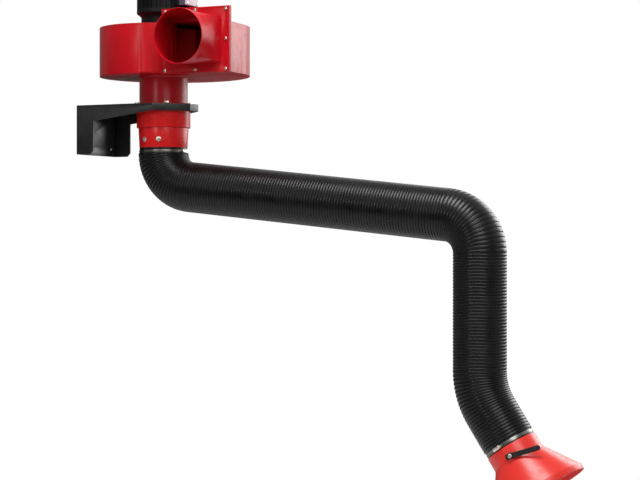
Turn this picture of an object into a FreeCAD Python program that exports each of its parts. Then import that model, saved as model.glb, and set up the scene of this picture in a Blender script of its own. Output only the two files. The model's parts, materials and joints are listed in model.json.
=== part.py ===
import FreeCAD
import Part
import math
import os

Vector = FreeCAD.Vector

# A wall-mounted welding fume extractor: a bracket carries a centrifugal fan above
# and, below a swivel, a jointed arm inside a ribbed hose that ends in a hood.
# Origin: centre of the bracket's back face. X points out from the wall, Z up.
# The fan blows out towards -Y. All lengths in millimetres, angles in degrees.

# Working gaps
overrun = 5.0
fit_gap = 0.2
turn_gap = 0.3
seam_gap = 1.0
full_turn = 360.0

# Wall bracket, cut and folded from steel plate
bracket_plate = 6.0
bracket_width = 240.0
bracket_height = 166.0
swivel_reach = 270.0
nose_reach = 119.5
nose_width = 55.0
lip_depth = 24.0
gusset_leg_width = 65.0
gusset_root_depth = 54.0
gusset_corner = 12.0
wall_hole_radius = 5.5
wall_hole_spacing_across = 180.0
wall_hole_spacing_up = 116.0

# Swivel below the bracket
housing_radius = 90.5
housing_bore_radius = 84.0
housing_height = 71.0
housing_lip = 8.0
housing_flange_radius = 97.0
housing_flange_depth = 14.0
slide_ring_thickness = 3.0
duct_radius = 75.0
collar_neck_wall = 3.5
collar_flange_thickness = 4.0
collar_top_radius = 84.5
collar_bottom_radius = 81.0
collar_height = 67.0
collar_screw_drop = 40.0
collar_screw_spread = 19.0
collar_screw_seat_depth = 2.0

# Bolts that clamp the inlet spigot, the bracket and the swivel housing together
flange_bolt_circle_radius = 90.0
flange_bolt_count = 4
flange_bolt_start = 36.0
flange_bolt_bite = 10.0
bolt_radius = 4.0
bolt_flats = 13.0
bolt_head = 5.5

# Ribbed hose
hose_bore_radius = 79.0
hose_wall = 1.5
rib_height = 3.5
rib_pitch = 10.0
rib_place_shares = (0.0, 0.3, 0.6, 0.9)
rib_rise_shares = (0.0, 1.0, 1.0, 0.0)
cuff_length = 18.0
clamp_width = 10.0
clamp_band = 1.2
clamp_screw_length = 32.0
clamp_screw_rise = 9.0
shoulder_clamp_angle = 90.0
hood_clamp_angle = -50.0

# Arm
shoulder_drop = 122.0
upper_arm_length = 1152.0
upper_arm_slope = 6.0
lower_arm_length = 543.0
hood_tilt = 33.0
hood_roll = -8.5
hood_reach = 193.0
elbow_straight = 47.0
wrist_straight = 5.0
shoulder_bend_reach = 170.0
elbow_bend_reach = 155.0
wrist_bend_reach = 75.0

# Skeleton inside the hose
arm_tube_width = 34.0
arm_tube_depth = 48.0
arm_tube_wall = 3.0
fork_plate = 5.0
friction_disc = 3.0
friction_disc_radius = 22.0
fork_web_start = 50.0
fork_web_length = 30.0
pivot_radius = 6.0
pivot_flats = 19.0
pivot_head = 8.0
yoke_tab_height = 36.0
yoke_tab_width = 68.0
yoke_tab_wall = 4.0
yoke_bar_width = 40.0
yoke_bar = 6.0
spider_bar_width = 20.0
spider_bar = 8.0
spider_reach = 118.0

# Fan
spigot_radius = 81.5
spigot_wall = 1.5
spigot_length = 95.0
spigot_flange = 3.0
casing_sheet = 2.0
casing_height = 164.0
scroll_base_radius = 152.0
scroll_growth = 150.0
scroll_points = 25
tongue_angle = 45.0
outlet_reach = 155.0
inlet_lip_radius = 100.0
inlet_throat_radius = 72.0
inlet_cone_height = 34.0
inlet_sheet = 1.5

# Fan outlet, a square flange drawn to a round mouth
outlet_flange = 5.0
outlet_flange_width = 255.0
outlet_flange_height = 213.0
outlet_flange_drop = 6.0
outlet_gasket = 2.0
outlet_bolt_spacing_across = 227.0
outlet_bolt_spacing_up = 194.0
outlet_bolt_radius = 3.0
outlet_bolt_flats = 10.0
outlet_bolt_head = 4.0
outlet_margin = 30.0
outlet_length = 120.0
outlet_collar = 14.0
outlet_radius = 90.0
outlet_rise = 4.0
outlet_sheet = 2.0

# Impeller
impeller_radius = 138.0
impeller_eye_radius = 78.0
impeller_sheet = 3.0
impeller_drop = 12.0
impeller_blade_height = 110.0
impeller_blade_curve = 95.0
impeller_blade_center = 100.0
impeller_blade_count = 10
impeller_hub_radius = 24.0
impeller_hub_height = 34.0
hub_washer_radius = 18.0
hub_washer = 3.0

# Motor
shaft_radius = 12.0
shield_flange_radius = 78.0
shield_flange = 8.0
shield_neck_radius = 75.0
shield_height = 60.0
bearing_radius = 26.0
bearing_width = 12.0
frame_radius = 77.0
frame_wall = 9.0
frame_length = 190.0
fin_radius = 90.0
fin_thickness = 3.0
fin_count = 28
rear_shield = 14.0
cowl_length = 62.0
cowl_sheet = 2.0
cowl_slot_count = 12
cowl_slot_width = 7.0
cowl_slot_inner_radius = 26.0
cowl_slot_outer_radius = 70.0
stator_radius = 50.0
stator_length = 120.0
air_gap = 0.7
cooling_fan_radius = 74.0
cooling_fan_height = 26.0
cooling_fan_blades = 7
cooling_fan_sheet = 3.0
motor_screw_circle_radius = 58.0
motor_screw_count = 4
motor_screw_radius = 4.0
motor_screw_head_radius = 6.5
motor_screw_head = 4.0
motor_screw_length = 18.0
terminal_pad_reach = 84.0
terminal_box_width = 80.0
terminal_box_height = 90.0
terminal_box_depth = 22.0
terminal_box_lift = 10.0
terminal_box_wall = 3.0
terminal_lid = 6.0
gland_radius = 9.0
gland_flats = 24.0
gland_length = 22.0

# Hood
hood_spigot_start = 105.0
hood_sheet = 1.5
hood_neck_radius = 83.5
hood_neck_length = 45.0
hood_cone_length = 112.0
hood_rim_radius = 160.0
hood_lip = 12.0
hood_bead = 3.0

# Damper in the hood's neck
damper_offset = 33.0
damper_shaft_radius = 5.0
damper_flat_share = 0.8
damper_blade_radius = 79.0
damper_blade = 2.0
damper_set = 14.4
bush_radius = 8.0
bush_flange_radius = 11.0
bush_flange = 2.3
lever_length = 98.0
lever_tail = 14.0
lever_width = 16.0
lever_thickness = 5.0
lever_screw_radius = 6.5
lever_screw_head = 4.5
lever_shank_radius = 3.0
shaft_head_radius = 8.0
shaft_head = 3.0

# Heights and places that follow from the sizes above
bracket_top = bracket_height / 2
bracket_under = bracket_top - bracket_plate
nose_end = swivel_reach + nose_reach
nose_start = nose_end - (bracket_width - nose_width) / 2
housing_bottom = bracket_under - housing_height
lip_top = housing_bottom + housing_lip
collar_neck_radius = duct_radius + collar_neck_wall
collar_flange_under = lip_top + slide_ring_thickness
collar_top = housing_bottom - seam_gap
collar_bottom = collar_top - collar_height
collar_screw_height = collar_top - collar_screw_drop
hose_valley_radius = hose_bore_radius + hose_wall
hose_spigot_radius = hose_bore_radius - fit_gap
spigot_bore_radius = hose_spigot_radius - hood_sheet
casing_bottom = bracket_top + spigot_length
casing_floor = casing_bottom + casing_sheet
casing_top = casing_bottom + casing_height
cover_under = casing_top - casing_sheet
flange_center_height = casing_bottom - outlet_flange_drop + outlet_flange_height / 2
shield_top = casing_top + shield_height
frame_top = shield_top + frame_length
rear_top = frame_top + rear_shield
cowl_top = rear_top + cowl_length
impeller_back = cover_under - impeller_drop
fork_inner = arm_tube_width / 2 + friction_disc
fork_outer = fork_inner + fork_plate
pivot_hole_radius = pivot_radius + turn_gap

down_angle = 180.0
upper_arm_angle = 90.0 + upper_arm_slope
hood_angle = down_angle - hood_tilt
shoulder_height = collar_bottom - shoulder_drop
shoulder_pivot = Vector(swivel_reach, 0, shoulder_height)


def heading(angle):
    turn = math.radians(angle)
    return Vector(math.sin(turn), 0, math.cos(turn))


elbow_pivot = shoulder_pivot + heading(upper_arm_angle) * upper_arm_length
wrist_pivot = elbow_pivot + heading(down_angle) * lower_arm_length


# General shapes
def closed_face(points):
    return Part.Face(Part.makePolygon(points + points[:1]))


def revolved(profile):
    face = closed_face([Vector(radius, 0, height) for radius, height in profile])
    return face.revolve(Vector(0, 0, 0), Vector(0, 0, 1), full_turn)


def flat_prism(outline, low, high):
    face = closed_face([Vector(x, y, low) for x, y in outline])
    return face.extrude(Vector(0, 0, high - low))


def side_prism(outline, low, high):
    face = closed_face([Vector(x, low, z) for x, z in outline])
    return face.extrude(Vector(0, high - low, 0))


def block(low, high):
    return Part.makeBox(high[0] - low[0], high[1] - low[1], high[2] - low[2], Vector(*low))


def rod(radius, start, end):
    reach = end - start
    return Part.makeCylinder(radius, reach.Length, start, reach)


def upright(radius, low, high):
    return rod(radius, Vector(0, 0, low), Vector(0, 0, high))


def hexagon(flats, start, end):
    reach = end - start
    corner = flats / 2 / math.cos(math.pi / 6)
    points = [around(full_turn / 6 * k, corner, 0) for k in range(6)]
    prism = closed_face(points).extrude(Vector(0, 0, reach.Length))
    prism.Placement = FreeCAD.Placement(start, FreeCAD.Rotation(Vector(0, 0, 1), reach))
    return prism


def hex_screw(seat, outward, flats, head, radius, length):
    top = seat + outward * head
    return hexagon(flats, seat, top).fuse(rod(radius, seat - outward * length, seat))


def joined(shapes):
    whole = shapes[0]
    for shape in shapes[1:]:
        whole = whole.fuse(shape)
    return whole.removeSplitter()


def without(shape, tools):
    for tool in tools:
        shape = shape.cut(tool)
    return shape


def at_swivel(shape):
    shape.translate(Vector(swivel_reach, 0, 0))
    return shape


def on_link(shape, pivot, angle, roll=0.0):
    swing = FreeCAD.Placement(pivot, FreeCAD.Rotation(Vector(0, 1, 0), angle))
    twist = FreeCAD.Placement(Vector(0, 0, 0), FreeCAD.Rotation(Vector(0, 0, 1), roll))
    shape.Placement = swing.multiply(twist).multiply(shape.Placement)
    return shape


def around(angle, radius, height):
    turn = math.radians(angle)
    return Vector(radius * math.cos(turn), radius * math.sin(turn), height)


# Wall bracket
def wall_plate():
    half = bracket_width / 2
    plate = block((0, -half, -bracket_top), (bracket_plate, half, bracket_under))
    holes = []
    for side in (-1, 1):
        for level in (-1, 1):
            y = side * wall_hole_spacing_across / 2
            z = level * wall_hole_spacing_up / 2
            holes.append(rod(wall_hole_radius, Vector(-overrun, y, z), Vector(bracket_plate + overrun, y, z)))
    return without(plate, holes)


def bracket_gusset(side):
    outline = [
        (bracket_plate, -bracket_top),
        (gusset_leg_width - gusset_corner, -bracket_top),
        (gusset_leg_width, -bracket_top + gusset_corner),
        (gusset_leg_width, bracket_top - gusset_root_depth),
        (nose_start, bracket_top - lip_depth),
        (nose_start, bracket_under),
        (bracket_plate, bracket_under),
    ]
    outer = side * bracket_width / 2
    inner = outer - side * bracket_plate
    return side_prism(outline, min(inner, outer), max(inner, outer))


def bracket_top_plate():
    half = bracket_width / 2
    tip = nose_width / 2
    outline = [(0, -half), (nose_start, -half), (nose_end, -tip), (nose_end, tip), (nose_start, half), (0, half)]
    tray = flat_prism(outline, bracket_top - lip_depth, bracket_top)
    low = bracket_top - lip_depth - overrun
    rear = block((-overrun, -half - overrun, low), (nose_start, half + overrun, bracket_under))
    slant = bracket_plate * math.sqrt(2)
    root = half - slant
    front = tip + bracket_plate - slant
    inner_end = nose_end - bracket_plate
    hollow_outline = [(nose_start, -root), (inner_end, -front), (inner_end, front), (nose_start, root)]
    hollow = flat_prism(hollow_outline, low, bracket_under)
    duct = at_swivel(rod(spigot_radius - spigot_wall, Vector(0, 0, low), Vector(0, 0, bracket_top + overrun)))
    return without(tray, [rear, hollow, duct] + flange_bolt_holes())


def flange_bolt_places():
    step = full_turn / flange_bolt_count
    return [flange_bolt_start + step * k for k in range(flange_bolt_count)]


def flange_bolt_holes():
    low = bracket_under - flange_bolt_bite - seam_gap
    high = bracket_top + spigot_flange + overrun
    ring = flange_bolt_circle_radius
    holes = []
    for angle in flange_bolt_places():
        hole = rod(bolt_radius + fit_gap, around(angle, ring, low), around(angle, ring, high))
        holes.append(at_swivel(hole))
    return holes


def flange_bolts():
    seat = bracket_top + spigot_flange
    length = spigot_flange + bracket_plate + flange_bolt_bite
    bolts = []
    for angle in flange_bolt_places():
        place = around(angle, flange_bolt_circle_radius, seat)
        bolts.append(hex_screw(place, Vector(0, 0, 1), bolt_flats, bolt_head, bolt_radius, length))
    return at_swivel(Part.makeCompound(bolts))


# Swivel
def swivel_housing():
    lip_bore = collar_neck_radius + turn_gap
    flange_under = bracket_under - housing_flange_depth
    ring = revolved([
        (housing_bore_radius, bracket_under),
        (housing_flange_radius, bracket_under),
        (housing_flange_radius, flange_under),
        (housing_radius, flange_under),
        (housing_radius, housing_bottom),
        (lip_bore, housing_bottom),
        (lip_bore, lip_top),
        (housing_bore_radius, lip_top),
    ])
    return without(at_swivel(ring), flange_bolt_holes())


def swivel_slide_ring():
    inner = collar_neck_radius + turn_gap
    outer = housing_bore_radius - fit_gap
    high = lip_top + slide_ring_thickness
    return at_swivel(revolved([(inner, lip_top), (outer, lip_top), (outer, high), (inner, high)]))


def collar_screw_places():
    return [base + side * collar_screw_spread for base in (-90.0, 90.0) for side in (-1, 1)]


def collar_screw_seat():
    taper = (collar_top_radius - collar_bottom_radius) / collar_height
    return collar_top_radius - taper * collar_screw_drop - collar_screw_seat_depth


def collar_screw_holes():
    inner = duct_radius / 2
    outer = collar_top_radius + overrun
    radius = bolt_radius + fit_gap
    height = collar_screw_height
    return [
        at_swivel(rod(radius, around(angle, inner, height), around(angle, outer, height)))
        for angle in collar_screw_places()
    ]


def swivel_collar():
    cuff_end = collar_bottom - cuff_length
    flange_top = collar_flange_under + collar_flange_thickness
    flange_radius = housing_bore_radius - seam_gap
    collar = revolved([
        (duct_radius, flange_top),
        (flange_radius, flange_top),
        (flange_radius, collar_flange_under),
        (collar_neck_radius, collar_flange_under),
        (collar_neck_radius, collar_top),
        (collar_top_radius, collar_top),
        (collar_bottom_radius, collar_bottom),
        (hose_spigot_radius, collar_bottom),
        (hose_spigot_radius, cuff_end),
        (duct_radius, cuff_end),
    ])
    seats = []
    for angle in collar_screw_places():
        start = around(angle, collar_screw_seat(), collar_screw_height)
        end = around(angle, collar_top_radius + overrun, collar_screw_height)
        seats.append(at_swivel(rod(bolt_flats / 2 + collar_screw_seat_depth, start, end)))
    return without(at_swivel(collar), seats + collar_screw_holes())


def collar_screws():
    length = collar_screw_seat() - duct_radius + yoke_tab_wall + fit_gap
    screws = []
    for angle in collar_screw_places():
        place = around(angle, collar_screw_seat(), collar_screw_height)
        screws.append(hex_screw(place, around(angle, 1, 0), bolt_flats, bolt_head, bolt_radius, length))
    return at_swivel(Part.makeCompound(screws))


def shoulder_yoke():
    outer = duct_radius - fit_gap
    tab_low = collar_screw_height - yoke_tab_height / 2
    tab_high = collar_screw_height + yoke_tab_height / 2
    bar_low = tab_high - yoke_bar
    inner = outer - yoke_tab_wall
    ring = revolved([(inner, tab_low), (outer, tab_low), (outer, tab_high), (inner, tab_high)])
    half = yoke_tab_width / 2
    tabs = ring.common(block((-half, -outer, tab_low), (half, outer, tab_high)))
    bore = rod(outer, Vector(0, 0, bar_low), Vector(0, 0, tab_high))
    bar = bore.common(block((-yoke_bar_width / 2, -outer, bar_low), (yoke_bar_width / 2, outer, tab_high)))
    legs = [fork_leg(side, shoulder_height - bar_low) for side in (-1, 1)]
    for leg in legs:
        leg.translate(Vector(0, 0, shoulder_height))
    return without(at_swivel(joined([tabs, bar] + legs)), collar_screw_holes())


def fork_leg(side, far_end):
    radius = arm_tube_depth / 2
    low = min(side * fork_inner, side * fork_outer)
    high = max(side * fork_inner, side * fork_outer)
    near = min(0, -far_end)
    far = max(0, -far_end)
    eye = rod(radius, Vector(0, low, 0), Vector(0, high, 0))
    leg = block((-radius, low, near), (radius, high, far))
    hole = rod(pivot_hole_radius, Vector(0, low - overrun, 0), Vector(0, high + overrun, 0))
    return eye.fuse(leg).removeSplitter().cut(hole)


# Pivots of the arm, each a bolt with a nut and a pair of friction discs
def pivot_bolt(pivot):
    head = Vector(0, -fork_outer, 0)
    tail = Vector(0, fork_outer, 0)
    reach = Vector(0, pivot_head, 0)
    bolt = hexagon(pivot_flats, head - reach, head).fuse(rod(pivot_radius, head, tail + reach + reach / 2))
    nut = hexagon(pivot_flats, tail, tail + reach).cut(rod(pivot_radius + fit_gap, head, tail + reach * 2))
    pair = Part.makeCompound([bolt, nut])
    pair.translate(pivot)
    return pair


def friction_discs(pivot):
    discs = []
    for side in (-1, 1):
        inner = Vector(0, side * arm_tube_width / 2, 0)
        outer = Vector(0, side * fork_inner, 0)
        hole = rod(pivot_hole_radius, Vector(0, 0, 0), outer * 2)
        discs.append(rod(friction_disc_radius, inner, outer).cut(hole))
    pair = Part.makeCompound(discs)
    pair.translate(pivot)
    return pair


def arm_tube(start, length):
    radius = arm_tube_depth / 2
    half = arm_tube_width / 2
    wall = arm_tube_wall
    tube = block((-radius, -half, start), (radius, half, length))
    tip = rod(radius, Vector(0, -half, length), Vector(0, half, length))
    low = (wall - radius, wall - half, start + radius)
    high = (radius - wall, half - wall, length - radius)
    hollow = block(low, high)
    hole = rod(pivot_hole_radius, Vector(0, -half - overrun, length), Vector(0, half + overrun, length))
    return without(tube.fuse(tip).removeSplitter(), [hollow, hole])


def upper_arm_bar():
    half = arm_tube_width / 2
    tip = rod(arm_tube_depth / 2, Vector(0, -half, 0), Vector(0, half, 0))
    hole = rod(pivot_hole_radius, Vector(0, -half - overrun, 0), Vector(0, half + overrun, 0))
    bar = joined([arm_tube(0, upper_arm_length), tip]).cut(hole)
    return on_link(bar, shoulder_pivot, upper_arm_angle)


def lower_arm_bar():
    radius = arm_tube_depth / 2
    web_end = fork_web_start + fork_web_length
    web = block((-radius, -fork_outer, fork_web_start), (radius, fork_outer, web_end))
    legs = [fork_leg(side, -web_end) for side in (-1, 1)]
    bar = joined([arm_tube(fork_web_start, lower_arm_length), web] + legs)
    return on_link(bar, elbow_pivot, down_angle)


def hood_spider():
    reach = spigot_bore_radius - fit_gap
    low = spider_reach - spider_bar
    half = spider_bar_width / 2
    bore = rod(reach, Vector(0, 0, low), Vector(0, 0, spider_reach))
    bar = bore.common(block((-half, -reach, low), (half, reach, spider_reach)))
    legs = [fork_leg(side, -spider_reach) for side in (-1, 1)]
    return on_link(joined([bar] + legs), wrist_pivot, hood_angle)


# Ribbed hose: a straight lead, an arc past one pivot and a straight tail
def bend_radius(angle_in, angle_out, tangent):
    return tangent / math.tan(math.radians(abs(angle_out - angle_in)) / 2)


def hose_path(pivot, angle_in, angle_out, straight, lead, tail):
    tangent = lead - straight
    radius = bend_radius(angle_in, angle_out, tangent)
    turn = math.radians(angle_out - angle_in)
    arc_end = straight + radius * abs(turn)
    bend_start = pivot - heading(angle_in) * tangent
    bend_end = pivot + heading(angle_out) * tangent

    def station(s):
        if s <= straight:
            return bend_start + heading(angle_in) * (s - straight), angle_in
        if s >= arc_end:
            return bend_end + heading(angle_out) * (s - arc_end), angle_out
        angle = angle_in + (angle_out - angle_in) * (s - straight) / (arc_end - straight)
        curve = math.copysign(radius, turn)
        first = math.radians(angle_in)
        last = math.radians(angle)
        across = curve * (math.cos(first) - math.cos(last))
        along = curve * (math.sin(last) - math.sin(first))
        return bend_start + Vector(across, 0, along), angle

    return station, arc_end + tail - tangent, straight, arc_end


def straight_path(pivot, angle, first, last):
    start = pivot + heading(angle) * first

    def station(s):
        return start + heading(angle) * s, angle

    return station, last - first


def hose_ring(radius, place):
    centre, angle = place
    ring = Part.Wire([Part.makeCircle(radius)])
    ring.Placement = FreeCAD.Placement(centre, FreeCAD.Rotation(Vector(0, 1, 0), angle))
    return ring


def ribbed_skin(station, length, plain_start, plain_end):
    ribbed = length - plain_start - plain_end
    count = max(1, round(ribbed / rib_pitch))
    pitch = ribbed / count
    rings = [(0, hose_valley_radius)] if plain_start else []
    for k in range(count):
        for place_share, rise_share in zip(rib_place_shares, rib_rise_shares):
            rings.append((plain_start + (k + place_share) * pitch, hose_valley_radius + rise_share * rib_height))
    rings.append((length - plain_end, hose_valley_radius))
    if plain_end:
        rings.append((length, hose_valley_radius))
    return Part.makeLoft([hose_ring(radius, station(s)) for s, radius in rings], True, True)


def straight_hose(path, plain_end=0):
    station, length = path
    bore = rod(hose_bore_radius, station(-overrun)[0], station(length + overrun)[0])
    return ribbed_skin(station, length, 0, plain_end).cut(bore)


def bent_hose(path, plain_start=0):
    station, length, arc_start, arc_end = path
    stops = (-overrun, arc_start, (arc_start + arc_end) / 2, arc_end, length + overrun)
    first, bend_start, bend_middle, bend_end, last = [station(s)[0] for s in stops]
    centreline = Part.Wire([
        Part.makeLine(first, bend_start),
        Part.Arc(bend_start, bend_middle, bend_end).toShape(),
        Part.makeLine(bend_end, last),
    ])
    bore = centreline.makePipeShell([hose_ring(hose_bore_radius, station(-overrun))], True, False)
    return ribbed_skin(station, length, plain_start, 0).cut(bore)


def hose_shoulder_bend():
    path = hose_path(
        shoulder_pivot, down_angle, upper_arm_angle, cuff_length, shoulder_drop, shoulder_bend_reach
    )
    return bent_hose(path, cuff_length)


def hose_upper_run():
    last = upper_arm_length - elbow_bend_reach
    return straight_hose(straight_path(shoulder_pivot, upper_arm_angle, shoulder_bend_reach, last))


def hose_elbow_bend():
    path = hose_path(
        elbow_pivot, upper_arm_angle, down_angle, elbow_straight, elbow_bend_reach, elbow_bend_reach
    )
    return bent_hose(path)


def hose_lower_run():
    last = lower_arm_length - wrist_bend_reach
    return straight_hose(straight_path(elbow_pivot, down_angle, elbow_bend_reach, last))


def hose_wrist_bend():
    path = hose_path(wrist_pivot, down_angle, hood_angle, wrist_straight, wrist_bend_reach, wrist_bend_reach)
    return bent_hose(path)


def hose_hood_end():
    return straight_hose(straight_path(wrist_pivot, hood_angle, wrist_bend_reach, hood_reach), cuff_length)


def hose_clamp(middle, angle):
    inner = hose_valley_radius + fit_gap
    outer = inner + clamp_band
    low = middle - clamp_width / 2
    high = middle + clamp_width / 2
    band = revolved([(inner, low), (outer, low), (outer, high), (inner, high)])
    half = clamp_screw_length / 2
    screw = block((inner, -half, low), (inner + clamp_screw_rise, half, high))
    screw = screw.cut(rod(inner, Vector(0, 0, low - overrun), Vector(0, 0, high + overrun)))
    screw.rotate(Vector(0, 0, 0), Vector(0, 0, 1), angle)
    return band.fuse(screw)


def shoulder_hose_clamp():
    return at_swivel(hose_clamp(collar_bottom - cuff_length / 2, shoulder_clamp_angle))


def hood_hose_clamp():
    return on_link(hose_clamp(hood_reach - cuff_length / 2, hood_clamp_angle), wrist_pivot, hood_angle)


# Fan
def inlet_spigot():
    bore = spigot_radius - spigot_wall
    flange_top = bracket_top + spigot_flange
    tube = revolved([
        (bore, bracket_top),
        (housing_flange_radius, bracket_top),
        (housing_flange_radius, flange_top),
        (spigot_radius, flange_top),
        (spigot_radius, casing_floor),
        (bore, casing_floor),
    ])
    return without(at_swivel(tube), flange_bolt_holes())


def inlet_cone():
    base = spigot_radius - spigot_wall
    lip_high = casing_floor + inlet_sheet
    throat_high = casing_floor + inlet_cone_height
    return at_swivel(revolved([
        (base, casing_floor),
        (inlet_lip_radius, casing_floor),
        (inlet_lip_radius, lip_high),
        (base + inlet_sheet, lip_high),
        (inlet_throat_radius + inlet_sheet, throat_high),
        (inlet_throat_radius, throat_high),
    ]))


def scroll_radius(angle):
    return scroll_base_radius + scroll_growth * angle / full_turn


def outlet_sides():
    last = scroll_radius(full_turn)
    flare = scroll_growth / (2 * math.pi) / last
    tongue = around(-tongue_angle, scroll_radius(tongue_angle), 0)
    return tongue.x, last + flare * outlet_reach


def scroll_face(inset, mouth):
    step = (full_turn - tongue_angle) / (scroll_points - 1)
    angles = [tongue_angle + step * k for k in range(scroll_points)]
    points = [around(-angle, scroll_radius(angle) - inset, 0) for angle in angles]
    spiral = Part.BSplineCurve()
    spiral.interpolate(points)
    near_side, far_side = outlet_sides()
    tongue = around(-tongue_angle, scroll_radius(tongue_angle), 0) + Vector(inset, inset, 0)
    corners = [
        points[-1],
        Vector(far_side - inset, -mouth, 0),
        Vector(near_side + inset, -mouth, 0),
        tongue,
        points[0],
    ]
    if not inset:
        corners.pop()
    return Part.Face(Part.Wire([spiral.toShape()] + Part.makePolygon(corners).Edges))


def outlet_frame(back, front):
    near_side, far_side = outlet_sides()
    middle = (near_side + far_side) / 2
    half_width = outlet_flange_width / 2
    half_height = outlet_flange_height / 2
    low = (middle - half_width, -front, flange_center_height - half_height)
    high = (middle + half_width, -back, flange_center_height + half_height)
    return without(block(low, high), outlet_bolt_holes())


def outlet_throat():
    near_side, far_side = outlet_sides()
    half = outlet_flange_height / 2 - outlet_margin - outlet_sheet
    low = (near_side + casing_sheet, -outlet_reach - overrun, flange_center_height - half)
    high = (far_side - casing_sheet, outlet_flange - outlet_reach, cover_under)
    return block(low, high)


def fan_casing():
    shell = scroll_face(0, outlet_reach).extrude(Vector(0, 0, cover_under - casing_bottom))
    shell.translate(Vector(0, 0, casing_bottom))
    inside = scroll_face(casing_sheet, outlet_reach - outlet_flange).extrude(Vector(0, 0, casing_height))
    inside.translate(Vector(0, 0, casing_floor))
    inlet = upright(spigot_radius + fit_gap, casing_bottom - overrun, casing_floor + overrun)
    frame =outlet_frame(outlet_reach - outlet_flange, outlet_reach)
    bolts = outlet_bolt_holes()
    return at_swivel(without(shell.cut(inside).fuse(frame), [inlet, outlet_throat()] + bolts))


def fan_cover():
    plate = scroll_face(0, outlet_reach - outlet_flange).extrude(Vector(0, 0, casing_sheet))
    plate.translate(Vector(0, 0, cover_under))
    hole = rod(shaft_radius + seam_gap, Vector(0, 0, cover_under - overrun), Vector(0, 0, casing_top + overrun))
    return at_swivel(without(plate, [hole] + motor_screw_holes()))


def outlet_bolt_places():
    near_side, far_side = outlet_sides()
    middle = (near_side + far_side) / 2
    steps = [(i, j) for i in (-1, 0, 1) for j in (-1, 0, 1) if (i, j) != (0, 0)]
    across = outlet_bolt_spacing_across / 2
    up = outlet_bolt_spacing_up / 2
    return [(middle + i * across, flange_center_height + j * up) for i, j in steps]


def outlet_bolt_holes():
    radius = outlet_bolt_radius + fit_gap
    front = -outlet_reach - outlet_gasket - outlet_flange - overrun
    back = outlet_flange - outlet_reach + overrun
    return [rod(radius, Vector(x, front, z), Vector(x, back, z)) for x, z in outlet_bolt_places()]


def outlet_bolts():
    seat = -outlet_reach - outlet_gasket - outlet_flange
    length = outlet_gasket + outlet_flange * 2
    outward = Vector(0, -1, 0)
    bolts = []
    for x, z in outlet_bolt_places():
        place = Vector(x, seat, z)
        bolts.append(hex_screw(place, outward, outlet_bolt_flats, outlet_bolt_head, outlet_bolt_radius, length))
    return at_swivel(Part.makeCompound(bolts))


def outlet_gasket_sheet():
    frame = outlet_frame(outlet_reach, outlet_reach + outlet_gasket)
    return at_swivel(frame.cut(outlet_throat()))


def square_ring(inset, y):
    near_side, far_side = outlet_sides()
    middle = (near_side + far_side) / 2
    half_width = outlet_flange_width / 2 - outlet_margin - inset
    half_height = outlet_flange_height / 2 - outlet_margin - inset
    signs = [(1, 0), (1, 1), (0, 1), (-1, 1), (-1, 0), (-1, -1), (0, -1), (1, -1)]
    points = [Vector(middle + i * half_width, y, flange_center_height + j * half_height) for i, j in signs]
    return Part.makePolygon(points + points[:1])


def round_ring(inset, y):
    near_side, far_side = outlet_sides()
    middle = Vector((near_side + far_side) / 2, y, flange_center_height + outlet_rise)
    radius = outlet_radius - inset

    def rim(eighth):
        turn = eighth * math.pi / 4
        return middle + Vector(radius * math.cos(turn), 0, radius * math.sin(turn))

    return Part.Wire([Part.Arc(rim(k), rim(k + 1 / 2), rim(k + 1)).toShape() for k in range(8)])


def outlet_transition():
    back = outlet_reach + outlet_gasket
    front = back + outlet_flange
    mouth = outlet_reach + outlet_length
    shoulder = mouth - outlet_collar
    flange = outlet_frame(back, front)
    cone = Part.makeLoft([square_ring(0, -front), round_ring(0, -shoulder)], True, True)
    collar = Part.Face(round_ring(0, -shoulder)).extrude(Vector(0, shoulder - mouth, 0))
    hollow = Part.makeLoft([square_ring(outlet_sheet, -front), round_ring(outlet_sheet, -shoulder)], True, True)
    root = Part.Face(square_ring(outlet_sheet, overrun - back)).extrude(Vector(0, back - overrun - front, 0))
    bore = Part.Face(round_ring(outlet_sheet, -shoulder)).extrude(Vector(0, shoulder - mouth - overrun, 0))
    whole = flange.fuse(cone).fuse(collar)
    return at_swivel(without(whole, [hollow, root, bore]))


# Impeller and shaft
def impeller_blade():
    low = impeller_back - impeller_sheet - impeller_blade_height
    high = impeller_back - impeller_sheet
    centre = Vector(impeller_blade_center, 0, low)
    half = impeller_sheet / 2
    lift = Vector(0, 0, high - low)
    curl = rod(impeller_blade_curve + half, centre, centre + lift)
    curl = curl.cut(rod(impeller_blade_curve - half, centre, centre + lift))
    ring = rod(impeller_radius, Vector(0, 0, low), Vector(0, 0, high))
    ring = ring.cut(rod(impeller_eye_radius, Vector(0, 0, low), Vector(0, 0, high)))
    side = block((0, -impeller_radius, low), (impeller_radius, 0, high))
    return ring.common(curl).common(side)


def impeller():
    blade_low = impeller_back - impeller_sheet - impeller_blade_height
    shroud_low = blade_low - impeller_sheet
    back_low = impeller_back - impeller_sheet
    back = rod(impeller_radius, Vector(0, 0, back_low), Vector(0, 0, impeller_back))
    shroud = rod(impeller_radius, Vector(0, 0, shroud_low), Vector(0, 0, blade_low))
    shroud = shroud.cut(rod(impeller_eye_radius, Vector(0, 0, shroud_low), Vector(0, 0, blade_low)))
    hub_low = impeller_back - impeller_hub_height
    hub = rod(impeller_hub_radius, Vector(0, 0, hub_low), Vector(0, 0, impeller_back))
    blades = []
    for k in range(impeller_blade_count):
        blade = impeller_blade()
        blade.rotate(Vector(0, 0, 0), Vector(0, 0, 1), k * full_turn / impeller_blade_count)
        blades.append(blade)
    bore = rod(shaft_radius + fit_gap, Vector(0, 0, hub_low - overrun), Vector(0, 0, impeller_back + overrun))
    return at_swivel(joined([back, shroud, hub] + blades).cut(bore))


def hub_screw_place():
    return Vector(0, 0, impeller_back - impeller_hub_height - hub_washer)


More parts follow.
